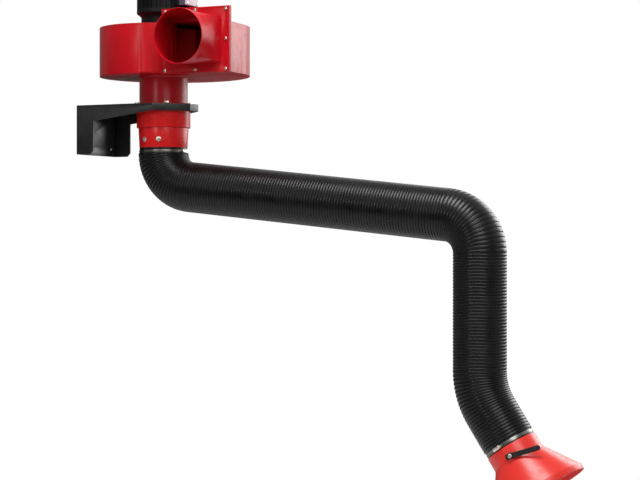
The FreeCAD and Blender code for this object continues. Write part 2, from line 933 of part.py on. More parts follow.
def impeller_screw():
    seat = hub_screw_place()
    washer_top = seat + Vector(0, 0, hub_washer)
    washer = rod(hub_washer_radius, seat, washer_top).cut(rod(bolt_radius + fit_gap, seat, washer_top))
    screw = hex_screw(seat, Vector(0, 0, -1), bolt_flats, bolt_head, bolt_radius, impeller_hub_height / 2)
    return at_swivel(Part.makeCompound([screw, washer]))


def motor_shaft():
    low = impeller_back - impeller_hub_height + seam_gap
    high = rear_top + cooling_fan_height + bearing_width
    hole = rod(bolt_radius + fit_gap, Vector(0, 0, low), Vector(0, 0, low + impeller_hub_height / 2))
    return at_swivel(rod(shaft_radius, Vector(0, 0, low), Vector(0, 0, high)).cut(hole))


def core_span():
    middle = shield_top + frame_length / 2
    return middle - stator_length / 2, middle + stator_length / 2


def rotor_core():
    low, high = core_span()
    inner = shaft_radius + fit_gap
    outer = stator_radius - air_gap
    return at_swivel(revolved([(inner, low), (outer, low), (outer, high), (inner, high)]))


def motor_cooling_fan():
    low = rear_top + bearing_width
    disc_high = low + cooling_fan_sheet
    high = low + cooling_fan_height
    hub = upright(shaft_radius * 2, low, high)
    disc = upright(cooling_fan_radius, low, disc_high)
    half = cooling_fan_sheet / 2
    blades = []
    for k in range(cooling_fan_blades):
        blade = block((shaft_radius, -half, low), (cooling_fan_radius, half, high))
        blade.rotate(Vector(0, 0, 0), Vector(0, 0, 1), k * full_turn / cooling_fan_blades)
        blades.append(blade)
    bore = upright(shaft_radius + fit_gap, low - overrun, high + overrun)
    return at_swivel(joined([hub, disc] + blades).cut(bore))


# Motor
def motor_screw_holes():
    low = cover_under - overrun
    high = casing_top + motor_screw_length + seam_gap
    ring = motor_screw_circle_radius
    holes = []
    for k in range(motor_screw_count):
        angle = k * full_turn / motor_screw_count
        holes.append(rod(motor_screw_radius + fit_gap, around(angle, ring, low), around(angle, ring, high)))
    return holes


def motor_screws():
    step = full_turn / motor_screw_count
    lift = Vector(0, 0, 1)
    screws = []
    for k in range(motor_screw_count):
        seat = around(step * k, motor_screw_circle_radius, cover_under)
        head = rod(motor_screw_head_radius, seat - lift * motor_screw_head, seat)
        screws.append(head.fuse(rod(motor_screw_radius, seat, seat + lift * (casing_sheet + motor_screw_length))))
    return at_swivel(Part.makeCompound(screws))


def motor_end_shield():
    flange_top = casing_top + shield_flange
    seat = bearing_radius + fit_gap
    bore = shaft_radius + seam_gap
    seat_low = shield_top - bearing_width
    shield = revolved([
        (bore, casing_top),
        (shield_flange_radius, casing_top),
        (shield_flange_radius, flange_top),
        (shield_neck_radius, flange_top),
        (shield_neck_radius, shield_top),
        (seat, shield_top),
        (seat, seat_low),
        (bore, seat_low),
    ])
    return at_swivel(without(shield, motor_screw_holes()))


def motor_bearings():
    inner = shaft_radius + turn_gap
    rings = []
    for low in (shield_top - bearing_width, frame_top):
        high = low + bearing_width
        rings.append(revolved([(inner, low), (bearing_radius, low), (bearing_radius, high), (inner, high)]))
    return at_swivel(Part.makeCompound(rings))


def terminal_box_span():
    low = shield_top + terminal_box_lift
    return low, low + terminal_box_height


def motor_frame():
    bore = frame_radius - frame_wall
    low, high = terminal_box_span()
    half = terminal_box_width / 2
    tube = rod(frame_radius, Vector(0, 0, shield_top), Vector(0, 0, frame_top))
    root = frame_radius - frame_wall / 2
    fins = []
    for k in range(fin_count):
        fin = block((root, -fin_thickness / 2, shield_top), (fin_radius, fin_thickness / 2, frame_top))
        fin.rotate(Vector(0, 0, 0), Vector(0, 0, 1), k * full_turn / fin_count)
        fins.append(fin)
    pad = block((bore / 2, -half, low), (terminal_pad_reach, half, high))
    recess_low = (terminal_pad_reach, -half - seam_gap, low - seam_gap)
    recess_high = (fin_radius * 2, half + seam_gap, high + seam_gap)
    recess = block(recess_low, recess_high)
    hollow = upright(bore, shield_top - overrun, frame_top + overrun)
    return at_swivel(without(joined([tube, pad] + fins), [recess, hollow]))


def stator_core():
    low, high = core_span()
    outer = frame_radius - frame_wall - fit_gap
    return at_swivel(revolved([(stator_radius, low), (outer, low), (outer, high), (stator_radius, high)]))


def motor_rear_shield():
    outer = fin_radius - cowl_sheet - fit_gap
    seat = bearing_radius + fit_gap
    bore = shaft_radius + seam_gap
    seat_high = frame_top + bearing_width
    return at_swivel(revolved([
        (seat, frame_top),
        (outer, frame_top),
        (outer, rear_top),
        (bore, rear_top),
        (bore, seat_high),
        (seat, seat_high),
    ]))


def motor_fan_cowl():
    inner = fin_radius - cowl_sheet
    under = cowl_top - cowl_sheet
    cup = revolved([
        (inner, frame_top),
        (fin_radius, frame_top),
        (fin_radius, cowl_top),
        (0, cowl_top),
        (0, under),
        (inner, under),
    ])
    slots = []
    for k in range(cowl_slot_count):
        slot = block(
            (cowl_slot_inner_radius, -cowl_slot_width / 2, under - overrun),
            (cowl_slot_outer_radius, cowl_slot_width / 2, cowl_top + overrun),
        )
        slot.rotate(Vector(0, 0, 0), Vector(0, 0, 1), k * full_turn / cowl_slot_count)
        slots.append(slot)
    return at_swivel(without(cup, slots))


def terminal_box():
    low, high = terminal_box_span()
    half = terminal_box_width / 2
    wall = terminal_box_wall
    face = terminal_pad_reach + terminal_box_depth
    box = block((terminal_pad_reach, -half, low), (face, half, high))
    inside = block((terminal_pad_reach + wall, wall - half, low + wall), (face + overrun, half - wall, high - wall))
    return at_swivel(without(box, [inside, gland_rod(gland_radius + fit_gap, -overrun, overrun)]))


def terminal_box_lid():
    low, high = terminal_box_span()
    half = terminal_box_width / 2
    face = terminal_pad_reach + terminal_box_depth
    return at_swivel(block((face, -half, low), (face + terminal_lid, half, high)))


def gland_rod(radius, first, last):
    low, high = terminal_box_span()
    x = terminal_pad_reach + terminal_box_depth / 2
    z = (low + high) / 2
    side = terminal_box_width / 2
    return rod(radius, Vector(x, side + first, z), Vector(x, side + last, z))


def cable_gland():
    low, high = terminal_box_span()
    side = terminal_box_width / 2
    seat = Vector(terminal_pad_reach + terminal_box_depth / 2, side, (low + high) / 2)
    collar = hexagon(gland_flats, seat, seat + Vector(0, gland_length / 2, 0))
    body = gland_rod(gland_radius, -terminal_box_wall, gland_length)
    return at_swivel(collar.fuse(body).cut(gland_rod(gland_radius / 2, -gland_length, gland_length * 2)))


# Hood and damper
def hood_shell():
    slope = math.atan2(hood_rim_radius - hood_neck_radius, hood_cone_length)
    cone_wall = hood_sheet / math.cos(slope)
    neck_end = hood_reach + hood_neck_length
    rim_start = neck_end + hood_cone_length
    rim_end = rim_start + hood_lip
    shell = revolved([
        (spigot_bore_radius, hood_spigot_start),
        (hose_spigot_radius, hood_spigot_start),
        (hose_spigot_radius, hood_reach),
        (hood_neck_radius, hood_reach),
        (hood_neck_radius, neck_end),
        (hood_rim_radius, rim_start),
        (hood_rim_radius + hood_bead, rim_start),
        (hood_rim_radius + hood_bead, rim_end),
        (hood_rim_radius - cone_wall, rim_end),
        (hood_rim_radius - cone_wall, rim_start),
        (hood_neck_radius - hood_sheet, neck_end),
        (hood_neck_radius - hood_sheet, hood_reach + hood_sheet),
        (spigot_bore_radius, hood_reach + hood_sheet),
    ])
    middle = hood_reach + damper_offset
    reach = hood_neck_radius + overrun
    cross = rod(bush_radius + fit_gap, Vector(0, -reach, middle), Vector(0, reach, middle))
    return on_link(shell.cut(cross), wrist_pivot, hood_angle, hood_roll)


def in_neck(shape, set_angle):
    middle = Vector(0, 0, hood_reach + damper_offset)
    turned = FreeCAD.Placement(middle, FreeCAD.Rotation(Vector(0, 1, 0), set_angle))
    shape.Placement = turned.multiply(shape.Placement)
    return on_link(shape, wrist_pivot, hood_angle, hood_roll)


def bush_face():
    return hood_neck_radius + fit_gap + bush_flange


def damper_bushes():
    bushes = []
    for side in (-1, 1):
        inner = Vector(0, side * (damper_blade_radius + seam_gap), 0)
        flange = Vector(0, side * (hood_neck_radius + fit_gap), 0)
        outer = Vector(0, side * bush_face(), 0)
        bush = rod(bush_radius, inner, flange).fuse(rod(bush_flange_radius, flange, outer))
        bushes.append(bush.cut(rod(damper_shaft_radius + turn_gap, Vector(0, 0, 0), outer * 2)))
    return in_neck(Part.makeCompound(bushes), 0)


def lever_faces():
    inner = bush_face() + turn_gap
    return inner, inner + lever_thickness


def damper_shaft():
    inner, outer = lever_faces()
    flat = damper_shaft_radius * damper_flat_share
    half = damper_blade_radius + seam_gap
    width = damper_shaft_radius + overrun
    bar = rod(damper_shaft_radius, Vector(0, -outer, 0), Vector(0, inner, 0))
    head = rod(shaft_head_radius, Vector(0, inner, 0), Vector(0, inner + shaft_head, 0))
    land = block((-width, -half, flat), (width, half, width))
    hole = rod(lever_shank_radius + fit_gap, Vector(0, -outer, 0), Vector(0, -half, 0))
    return in_neck(without(bar.fuse(head), [land, hole]), damper_set)


def damper_blade_disc():
    flat = damper_shaft_radius * damper_flat_share
    return in_neck(rod(damper_blade_radius, Vector(0, 0, flat), Vector(0, 0, flat + damper_blade)), damper_set)


def damper_lever():
    inner, outer = lever_faces()
    half = lever_width / 2
    tip = half - lever_length
    bar = block((tip, -outer, -half), (lever_tail, -inner, half))
    end = rod(half, Vector(tip, -outer, 0), Vector(tip, -inner, 0))
    hole = rod(damper_shaft_radius + fit_gap, Vector(0, -outer - overrun, 0), Vector(0, overrun - inner, 0))
    return in_neck(bar.fuse(end).removeSplitter().cut(hole), damper_set)


def lever_screw():
    inner, outer = lever_faces()
    seat = Vector(0, -outer, 0)
    head = rod(lever_screw_radius, seat - Vector(0, lever_screw_head, 0), seat)
    shank = rod(lever_shank_radius, seat, Vector(0, -damper_blade_radius - seam_gap * 2, 0))
    return in_neck(head.fuse(shank), damper_set)


nodes = {
    "wall_plate": wall_plate(),
    "bracket_gusset_left": bracket_gusset(1),
    "bracket_gusset_right": bracket_gusset(-1),
    "bracket_top_plate": bracket_top_plate(),
    "flange_bolts": flange_bolts(),
    "swivel_housing": swivel_housing(),
    "swivel_slide_ring": swivel_slide_ring(),
    "inlet_spigot": inlet_spigot(),
    "inlet_cone": inlet_cone(),
    "fan_casing": fan_casing(),
    "fan_cover": fan_cover(),
    "outlet_gasket": outlet_gasket_sheet(),
    "outlet_transition": outlet_transition(),
    "outlet_bolts": outlet_bolts(),
    "motor_screws": motor_screws(),
    "motor_end_shield": motor_end_shield(),
    "motor_bearings": motor_bearings(),
    "motor_frame": motor_frame(),
    "stator_core": stator_core(),
    "motor_rear_shield": motor_rear_shield(),
    "motor_fan_cowl": motor_fan_cowl(),
    "terminal_box": terminal_box(),
    "terminal_box_lid": terminal_box_lid(),
    "cable_gland": cable_gland(),
    "impeller": impeller(),
    "impeller_screw": impeller_screw(),
    "motor_shaft": motor_shaft(),
    "rotor_core": rotor_core(),
    "motor_cooling_fan": motor_cooling_fan(),
    "swivel_collar": swivel_collar(),
    "collar_screws": collar_screws(),
    "shoulder_yoke": shoulder_yoke(),
    "shoulder_pivot_bolt": pivot_bolt(shoulder_pivot),
    "shoulder_hose_clamp": shoulder_hose_clamp(),
    "hose_shoulder_bend": hose_shoulder_bend(),
    "upper_arm_bar": upper_arm_bar(),
    "shoulder_friction_discs": friction_discs(shoulder_pivot),
    "elbow_friction_discs": friction_discs(elbow_pivot),
    "hose_upper_run": hose_upper_run(),
    "hose_elbow_bend": hose_elbow_bend(),
    "lower_arm_bar": lower_arm_bar(),
    "elbow_pivot_bolt": pivot_bolt(elbow_pivot),
    "wrist_friction_discs": friction_discs(wrist_pivot),
    "hose_lower_run": hose_lower_run(),
    "hose_wrist_bend": hose_wrist_bend(),
    "hood_spider": hood_spider(),
    "wrist_pivot_bolt": pivot_bolt(wrist_pivot),
    "hood_shell": hood_shell(),
    "hood_hose_clamp": hood_hose_clamp(),
    "hose_hood_end": hose_hood_end(),
    "damper_bushes": damper_bushes(),
    "damper_shaft": damper_shaft(),
    "damper_blade": damper_blade_disc(),
    "damper_lever": damper_lever(),
    "lever_screw": lever_screw(),
}

os.makedirs("parts", exist_ok=True)
for name, shape in nodes.items():
    shape.exportStep(os.path.join("parts", name + ".step"))
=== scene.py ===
import json
import math

import bmesh
import bpy
from mathutils import Matrix, Vector


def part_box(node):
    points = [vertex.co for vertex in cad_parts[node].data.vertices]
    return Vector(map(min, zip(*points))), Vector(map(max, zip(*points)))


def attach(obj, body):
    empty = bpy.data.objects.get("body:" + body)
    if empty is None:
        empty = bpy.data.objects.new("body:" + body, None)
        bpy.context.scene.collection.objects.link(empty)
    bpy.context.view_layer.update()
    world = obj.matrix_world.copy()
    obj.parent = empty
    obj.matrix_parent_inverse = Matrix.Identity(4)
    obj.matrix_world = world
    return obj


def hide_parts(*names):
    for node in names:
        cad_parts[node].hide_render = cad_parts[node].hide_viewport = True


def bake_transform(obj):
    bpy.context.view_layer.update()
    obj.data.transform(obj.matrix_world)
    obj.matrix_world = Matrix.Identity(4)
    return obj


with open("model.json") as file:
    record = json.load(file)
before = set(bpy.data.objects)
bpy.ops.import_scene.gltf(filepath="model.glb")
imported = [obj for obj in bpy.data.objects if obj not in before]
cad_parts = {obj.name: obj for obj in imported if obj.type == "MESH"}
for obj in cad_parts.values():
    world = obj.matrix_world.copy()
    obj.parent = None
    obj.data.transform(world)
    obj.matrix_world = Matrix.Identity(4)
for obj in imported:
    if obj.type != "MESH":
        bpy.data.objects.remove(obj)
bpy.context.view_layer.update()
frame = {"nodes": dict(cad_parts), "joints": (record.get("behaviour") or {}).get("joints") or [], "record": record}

nodes = frame["nodes"]
scene = bpy.context.scene
pivots = {joint["name"]: Vector(joint["pos_m"]) for joint in frame["joints"]}
axles = {joint["name"]: Vector(joint["axis"]) for joint in frame["joints"]}
bodyOf = {node: body for body, members in frame["record"]["behaviour"]["bodies"].items() for node in members}
slotOf = {part["node"]: part["material_slot"] for part in frame["record"]["subparts"]}
shoulder, elbow, wrist = (pivots[name] for name in ("shoulder_hinge", "elbow_hinge", "wrist_hinge"))
downward = Vector((0, 0, -1))
armLine = (elbow - shoulder).normalized()
hoodLine = (pivots["damper_turn"] - wrist).normalized()


def standing(place, xLine, yLine, zLine):
    turn = Matrix((xLine, yLine, zLine)).transposed().to_4x4()
    return Matrix.Translation(place) @ turn


def facing(place, outward):
    return Matrix.Translation(place) @ outward.to_track_quat("Z", "Y").to_matrix().to_4x4()


swivelFrame = Matrix.Translation((shoulder.x, 0, 0))
hoodFrame = standing(wrist, axles["wrist_hinge"].cross(hoodLine), axles["wrist_hinge"], hoodLine)


# camera, floor and light
cameraSetup = {
    "place": (3.705, -5.707, -0.372),
    "azimuth": 26.5,
    "lens": 110.7,
    "sensor": 36.0,
    "farthest": 120.0,
}

floorSetup = {
    "height": -2.25,        # the bracket hangs at about head height
    "centre": (0.85, 0.0),
    "radius": 7.0,
    "solid": 3.2,           # inside this radius the floor hides the backdrop
    "sides": 96,
    "colour": (0.86, 0.86, 0.86, 1.0),
}

lampSetups = {
    "overheadSoftbox": {"place": (1.2, -1.4, 2.9), "aim": (0.9, 0.0, -0.2), "size": 2.2, "power": 150.0},
    "frontStrip": {"place": (-0.3, -4.8, 0.9), "aim": (0.4, 0.0, 0.0), "size": 0.9, "power": 22.0},
    "cameraLamp": {"place": (2.3, -4.4, 0.4), "aim": (1.0, 0.0, -0.3), "size": 0.8, "power": 2.0},
    "fillSoftbox": {"place": (4.0, -3.6, 2.0), "aim": (0.8, 0.0, -0.2), "size": 3.0, "power": 90.0},
    "rimSoftbox": {"place": (2.5, 3.9, 1.1), "aim": (0.8, 0.0, -0.2), "size": 3.2, "power": 92.0},
}

roomSetup = {
    "below": 0.06,                    # little light comes from below the horizon
    "horizon": (-0.07, 0.01),
    "level": 0.18,                    # soft light from all round
    "overhead": 0.22,                 # more of it comes from above
    "backdrop": (0.477, 0.879, 0.0),  # gloss shows the white backdrop on this side
    "backdropFrom": 0.35,
    "backdropTo": 0.85,
}


def aimed(place, aim):
    return (Vector(aim) - Vector(place)).to_track_quat("-Z", "Y").to_euler()


def setCamera():
    data = bpy.data.cameras.new("photoCamera")
    data.sensor_width = cameraSetup["sensor"]
    data.lens = cameraSetup["lens"]
    data.clip_end = cameraSetup["farthest"]
    camera = bpy.data.objects.new("photoCamera", data)
    camera.location = cameraSetup["place"]
    camera.rotation_euler = (math.pi / 2, 0, math.radians(cameraSetup["azimuth"]))
    scene.collection.objects.link(camera)
    scene.camera = camera


def setLamps():
    for name, lamp in lampSetups.items():
        data = bpy.data.lights.new(name, "AREA")
        data.shape = "DISK"
        data.size = lamp["size"]
        data.energy = lamp["power"]
        obj = bpy.data.objects.new(name, data)
        obj.location = lamp["place"]
        obj.rotation_euler = aimed(lamp["place"], lamp["aim"])
        scene.collection.objects.link(obj)


# shader sums written as Python
class Wire:
    def __init__(self, finish, socket):
        self.finish = finish
        self.socket = socket

    def sum(self, operation, first, second):
        return self.finish.node("ShaderNodeMath", {"operation": operation}, {0: first, 1: second})

    def __add__(self, other):
        return self.sum("ADD", self, other)

    def __sub__(self, other):
        return self.sum("SUBTRACT", self, other)

    def __rsub__(self, other):
        return self.sum("SUBTRACT", other, self)

    def __mul__(self, other):
        return self.sum("MULTIPLY", self, other)

    __radd__ = __add__
    __rmul__ = __mul__


class Finish:
    def __init__(self, owner):
        self.owner = owner
        owner.use_nodes = True
        self.tree = owner.node_tree
        self.tree.nodes.clear()

    def node(self, kind, settings=None, inputs=None, output=0):
        made = self.tree.nodes.new(kind)
        for key, value in (settings or {}).items():
            setattr(made, key, value)
        for key, value in (inputs or {}).items():
            if isinstance(value, Wire):
                self.tree.links.new(value.socket, made.inputs[key])
            else:
                made.inputs[key].default_value = value
        return Wire(self, made.outputs[output]) if made.outputs else None

    def place(self):
        return self.node("ShaderNodeTexCoord", output="Object")

    def noise(self, scale, detail=2.0, rough=0.5):
        inputs = {"Vector": self.place(), "Scale": scale, "Detail": detail, "Roughness": rough}
        return self.node("ShaderNodeTexNoise", None, inputs)

    def between(self, value, low, high):
        inputs = {"Value": value, "From Min": low, "From Max": high}
        return self.node("ShaderNodeMapRange", {"interpolation_type": "SMOOTHSTEP"}, inputs)

    def mix(self, share, first, second):
        return self.node("ShaderNodeMix", {"data_type": "RGBA"}, {0: share, 6: first, 7: second}, 2)

    def bump(self, height, strength, distance):
        inputs = {"Strength": strength, "Distance": distance, "Height": height}
        return self.node("ShaderNodeBump", None, inputs)

    def surface(self, inputs):
        shader = self.node("ShaderNodeBsdfPrincipled", None, inputs)
        self.node("ShaderNodeOutputMaterial", None, {"Surface": shader})
        return self.owner


def colour(red, green, blue):
    return (red, green, blue, 1.0)


def setRoom():
    room = Finish(bpy.data.worlds.new("studio"))
    rays = {
        name: room.node("ShaderNodeLightPath", output="Is %s Ray" % name)
        for name in ("Camera", "Glossy", "Transmission")
    }
    line = room.node("ShaderNodeTexCoord", output="Generated")
    sides = {0: line, 1: roomSetup["backdrop"]}
    behind = room.node("ShaderNodeVectorMath", {"operation": "DOT_PRODUCT"}, sides, "Value")
    backdrop = room.between(behind, roomSetup["backdropFrom"], roomSetup["backdropTo"])
    height = room.node("ShaderNodeSeparateXYZ", None, {0: line}, "Z")
    upper = room.between(height, *roomSetup["horizon"])
    overhead = roomSetup["overhead"] * room.between(height, 0.0, 1.0)
    level = roomSetup["below"] + roomSetup["level"] * upper + overhead
    white = rays["Camera"] + rays["Transmission"] + rays["Glossy"] * backdrop * upper
    strength = white + level * (1 - white)
    light = room.node("ShaderNodeBackground", None, {"Color": colour(1, 1, 1), "Strength": strength})
    room.node("ShaderNodeOutputWorld", None, {"Surface": light})
    scene.world = room.owner


def setFloor():
    bm = bmesh.new()
    bmesh.ops.create_circle(bm, cap_ends=True, segments=floorSetup["sides"], radius=floorSetup["radius"])
    mesh = bpy.data.meshes.new("studioFloor")
    bm.to_mesh(mesh)
    bm.free()
    floor = bpy.data.objects.new("studioFloor", mesh)
    floor.location = (*floorSetup["centre"], floorSetup["height"])
    scene.collection.objects.link(floor)
    pale = Finish(bpy.data.materials.new("paleFloor"))
    reach = pale.node("ShaderNodeVectorMath", {"operation": "LENGTH"}, {0: pale.place()}, "Value")
    fade = pale.between(reach, floorSetup["solid"], floorSetup["radius"])
    matt = pale.node("ShaderNodeBsdfDiffuse", None, {"Color": floorSetup["colour"]})
    clear = pale.node("ShaderNodeBsdfTransparent")
    shader = pale.node("ShaderNodeMixShader", None, {0: fade, 1: matt, 2: clear})
    pale.node("ShaderNodeOutputMaterial", None, {"Surface": shader})
    mesh.materials.append(pale.owner)


# finishes
def newFinish(name):
    return Finish(bpy.data.materials.new(name))


enamelSetup = {
    "clouds": {"scale": 3.5, "detail": 3.0},             # slow drift of the colour
    "cloudRange": (0.35, 0.65),
    "haze": {"scale": 38.0, "detail": 4.0, "rough": 0.6},
    "hazeRange": (0.45, 0.75),
    "hazeDulls": 0.10,
    "peel": {"scale": 420.0, "detail": 1.0},             # orange peel of sprayed paint
    "peelBump": (0.02, 0.0003),
}


def enamel(name, bright, deep, gloss, shine):
    paint = newFinish(name)
    setup = enamelSetup
    clouds = paint.between(paint.noise(**setup["clouds"]), *setup["cloudRange"])
    haze = paint.between(paint.noise(**setup["haze"]), *setup["hazeRange"])
    return paint.surface({
        "Base Color": paint.mix(clouds, deep, bright),
        "Roughness": gloss + setup["hazeDulls"] * haze,
        "Specular IOR Level": shine,
        "Normal": paint.bump(paint.noise(**setup["peel"]), *setup["peelBump"]),
    })


coatSetup = {
    "dust": {"scale": 9.0, "detail": 4.0, "rough": 0.65},
    "dustRange": (0.40, 0.72),
    "dullRange": (0.40, 0.70),
    "dustDulls": 0.12,
    "evenDust": 0.5,
    "grainBump": (0.08, 0.0004),
}


def powderCoat(name, bright, deep, gloss, grainSize, shine):
    coat = newFinish(name)
    setup = coatSetup
    dust = coat.noise(**setup["dust"])
    dull = coat.between(dust, *setup["dullRange"]) - setup["evenDust"]
    return coat.surface({
        "Base Color": coat.mix(coat.between(dust, *setup["dustRange"]), deep, bright),
        "Roughness": gloss + setup["dustDulls"] * dull,
        "Specular IOR Level": shine,
        "Normal": coat.bump(coat.noise(grainSize), *setup["grainBump"]),
    })


plateSetup = {
    "stain": {"scale": 55.0, "detail": 4.0, "rough": 0.6},
    "stainRange": (0.38, 0.68),
    "dullRange": (0.35, 0.75),
    "stainDulls": 0.16,
    "rub": {"scale": 700.0},
    "rubBump": (0.12, 0.0003),
}


def platedSteel(name, pale, tinge, gloss):
    plate = newFinish(name)
    setup = plateSetup
    stain = plate.noise(**setup["stain"])
    return plate.surface({
        "Base Color": plate.mix(plate.between(stain, *setup["stainRange"]), pale, tinge),
        "Metallic": 1.0,
        "Roughness": gloss + setup["stainDulls"] * plate.between(stain, *setup["dullRange"]),
        "Normal": plate.bump(plate.noise(**setup["rub"]), *setup["rubBump"]),
    })


skinSetup = {
    "clean": colour(0.0035, 0.0035, 0.004),
    "dusty": colour(0.006, 0.006, 0.007),
    "film": {"scale": 14.0, "detail": 4.0, "rough": 0.6},
    "filmRange": (0.42, 0.75),
    "dullRange": (0.35, 0.70),
    "gloss": 0.25,
    "filmDulls": 0.10,
    "shine": 0.27,
    "pores": {"scale": 620.0},
    "poreBump": (0.05, 0.0003),
}


def hoseSkin(name):
    skin = newFinish(name)
    setup = skinSetup
    film = skin.noise(**setup["film"])
    return skin.surface({
        "Base Color": skin.mix(skin.between(film, *setup["filmRange"]), setup["clean"], setup["dusty"]),
        "Roughness": setup["gloss"] + setup["filmDulls"] * skin.between(film, *setup["dullRange"]),
        "Specular IOR Level": setup["shine"],
        "Normal": skin.bump(skin.noise(**setup["pores"]), *setup["poreBump"]),
    })


mouldingSetup = {
    "fade": {"scale": 22.0, "detail": 3.0},
    "fadeRange": (0.35, 0.70),
    "dullRange": (0.30, 0.70),
    "fadeDulls": 0.10,
    "spark": {"scale": 900.0, "detail": 1.0},            # fine texture of the mould
    "sparkBump": (0.14, 0.0003),
}


def moulding(name, bright, deep, gloss):
    part = newFinish(name)
    setup = mouldingSetup
    fade = part.noise(**setup["fade"])
    return part.surface({
        "Base Color": part.mix(part.between(fade, *setup["fadeRange"]), deep, bright),
        "Roughness": gloss + setup["fadeDulls"] * part.between(fade, *setup["dullRange"]),
        "Normal": part.bump(part.noise(**setup["spark"]), *setup["sparkBump"]),
    })


finishes = {
    "red_paint": enamel(
        "redEnamel", colour(0.42, 0.003, 0.009), colour(0.37, 0.002, 0.006), gloss=0.28, shine=0.24,
    ),
    # the swivel housing and collar take the casing's red paint made brighter: painted light, as the lower parts
    # catch more of the lamps
    "swivelPaintedLightEnamel": enamel(
        "swivelPaintedLightEnamel", colour(0.60, 0.010, 0.011), colour(0.55, 0.006, 0.009), gloss=0.25, shine=0.36,
    ),
    # the impeller is painted red like the casing, and its red is made brighter as painted light in the shaded
    # inside of the outlet
    "impellerPaintedLightEnamel": enamel(
        "impellerPaintedLightEnamel", colour(0.70, 0.004, 0.008), colour(0.62, 0.003, 0.006), gloss=0.45, shine=0.10,
    ),
    "hood_paint": enamel(
        "hoodEnamel", colour(0.70, 0.030, 0.018), colour(0.64, 0.022, 0.014), gloss=0.28, shine=0.50,
    ),
    "black_paint": powderCoat(
        "blackCoat", colour(0.016, 0.016, 0.016), colour(0.011, 0.011, 0.011),
        gloss=0.36, grainSize=900.0, shine=0.42,
    ),
    "motor_casting": powderCoat(
        "motorCoat", colour(0.010, 0.010, 0.011), colour(0.006, 0.006, 0.007),
        gloss=0.46, grainSize=500.0, shine=0.12,
    ),
    "clampBand": platedSteel("clampBand", colour(0.21, 0.205, 0.19), colour(0.16, 0.15, 0.12), 0.22),
    "zinc_steel": platedSteel("zincPlate", colour(0.74, 0.73, 0.70), colour(0.66, 0.60, 0.46), 0.22),
    "arm_aluminium": platedSteel("millAluminium", colour(0.66, 0.67, 0.68), colour(0.56, 0.57, 0.58), 0.34),
    "bearing_steel": platedSteel("groundSteel", colour(0.72, 0.72, 0.73), colour(0.60, 0.60, 0.61), 0.16),
    "core_iron": platedSteel("coreSteel", colour(0.30, 0.30, 0.31), colour(0.20, 0.19, 0.18), 0.45),
    "hose_plastic": hoseSkin("hoseSkin"),
    "bearing_plastic": moulding("darkMoulding", colour(0.05, 0.05, 0.05), colour(0.03, 0.03, 0.03), 0.45),
    "gasket_rubber": moulding("gasketRubber", colour(0.030, 0.030, 0.030), colour(0.018, 0.018, 0.018), 0.62),
    # the terminal box's moulding is darker than it is, as painted shade on its front face, and its lid on the
    # right side is a pale copy of the same moulding, as painted light
    "grey_plastic": moulding("greyPaintedShadeMoulding", colour(0.070, 0.060, 0.085), colour(0.055, 0.048, 0.068), 0.40),
    "lidPaintedLightMoulding": moulding("lidPaintedLightMoulding", colour(0.58, 0.54, 0.62), colour(0.52, 0.49, 0.56), 0.34),
    "gland_plastic": moulding("glandMoulding", colour(0.04, 0.04, 0.042), colour(0.025, 0.025, 0.026), 0.48),
}

# pieces that take another finish than their slot's: the swivel pieces a brighter copy of the red paint as painted
# light, the impeller red made brighter as painted light in the shaded outlet, the terminal box lid a pale copy of
# the grey moulding as painted light, the clamp bands a darker zinc
shadeOf = {
    "swivel_housing": "swivelPaintedLightEnamel",
    "swivel_collar": "swivelPaintedLightEnamel",
    "terminal_box_lid": "lidPaintedLightMoulding",
    "impeller": "impellerPaintedLightEnamel",
    "shoulder_hose_clamp": "clampBand",
    "hood_hose_clamp": "clampBand",
}
print("finishes:", len(finishes))


def finishOf(node):
    return finishes[shadeOf.get(node, slotOf[node])]


def dressNodes():
    for name, obj in nodes.items():
        obj.data.materials.clear()
        obj.data.materials.append(finishOf(name))


# new pieces
def madePiece(name, bm, node, sharpest=40.0):
    mesh = bpy.data.meshes.new(name)
    bm.to_mesh(mesh)
    bm.free()
    mesh.materials.append(finishOf(node))
    mesh.shade_smooth()
    mesh.set_sharp_from_angle(angle=math.radians(sharpest))
    piece = bpy.data.objects.new(name, mesh)
    scene.collection.objects.link(piece)
    return piece


def standIn(name, bm, node, sharpest=40.0):
    piece = madePiece(name, bm, node, sharpest)
    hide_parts(node)
    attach(piece, bodyOf[node])
    print(name, "faces", len(piece.data.polygons))


# plates and sheets get the small rounded edges that bending, paint and moulds leave
softEdges = {
    "wall_plate": 0.0010,
    "bracket_gusset_left": 0.0010,
    "bracket_gusset_right": 0.0010,
    "bracket_top_plate": 0.0012,
    "fan_casing": 0.0007,
    "fan_cover": 0.0007,
    "outlet_transition": 0.0007,
    "motor_fan_cowl": 0.0008,
    "terminal_box": 0.0008,
    "terminal_box_lid": 0.0020,
    "damper_lever": 0.0010,
}
softSetup = {"weld": 0.000002, "flat": 1.0, "sharp": 35.0, "steps": 3}


def softened(node, width):
    bm = bmesh.new()
    bm.from_mesh(nodes[node].data)
    bmesh.ops.remove_doubles(bm, verts=bm.verts, dist=softSetup["weld"])
    flat = math.radians(softSetup["flat"])
    bmesh.ops.dissolve_limit(bm, angle_limit=flat, verts=bm.verts, edges=bm.edges)
    limit = math.radians(softSetup["sharp"])
    sharp = [edge for edge in bm.edges if edge.is_manifold and edge.calc_face_angle() > limit]
    bmesh.ops.bevel(
        bm, geom=sharp, offset=width, segments=softSetup["steps"], profile=0.5, affect="EDGES",
        clamp_overlap=True, material=-1,
    )
    standIn(node + "Soft", bm, node, softSetup["sharp"])


